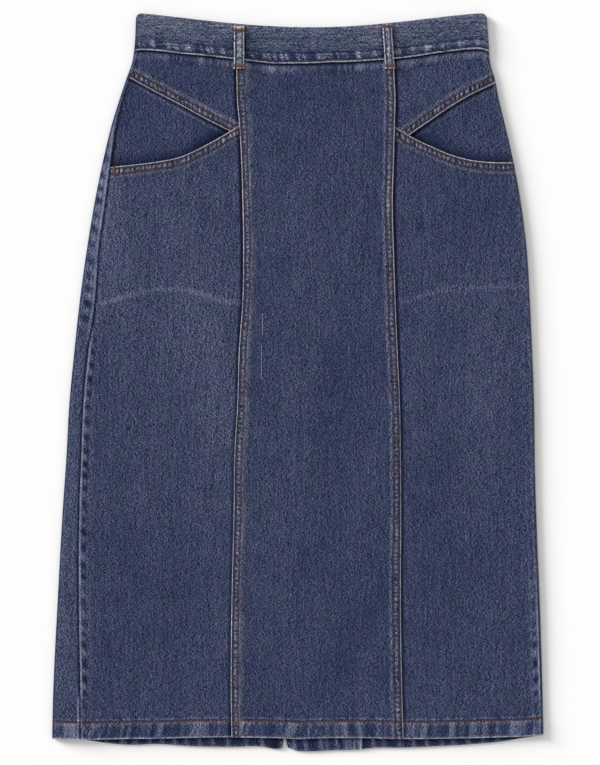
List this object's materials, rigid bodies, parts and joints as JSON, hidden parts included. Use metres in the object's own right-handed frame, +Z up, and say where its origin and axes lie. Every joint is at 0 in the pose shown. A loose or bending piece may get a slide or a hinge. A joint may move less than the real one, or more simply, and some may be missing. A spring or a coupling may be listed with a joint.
{
  "type": "denim skirt laid flat",
  "caption": "Denim midi skirt laid flat on its back, with waistband, belt loops, hip yokes, curved pockets, princess seams and a slit hem.",
  "frame": {"origin": "middle of the skirt's outline, on the surface it lies on", "axes": "+X across the skirt to the right as seen from above, +Y from the hem to the waist, +Z up from the surface through the back and the front"},
  "size_m": [0.5343, 0.8055, 0.0105],
  "materials": {
    "denim": "washed mid-indigo denim twill, matt, paler along seams and edges",
    "denim_faded": "denim twill worn paler, on the waistband and belt loops",
    "denim_shaded": "less faded denim twill of the pocket facings",
    "zip_tape": "woven dark blue polyester tape"
  },
  "bodies": {
    "root": {"waistband": "denim_faded", "belt_loop_left": "denim_faded", "belt_loop_right": "denim_faded", "front_centre": "denim", "front_yoke_left": "denim", "front_yoke_right": "denim", "pocket_left": "denim_shaded", "pocket_right": "denim_shaded", "front_side_left": "denim", "front_side_right": "denim", "back_side_left": "denim", "back_side_right": "denim", "back_centre_left": "denim", "back_centre_right": "denim", "back_zip": "zip_tape"}
  },
  "joints": []
}
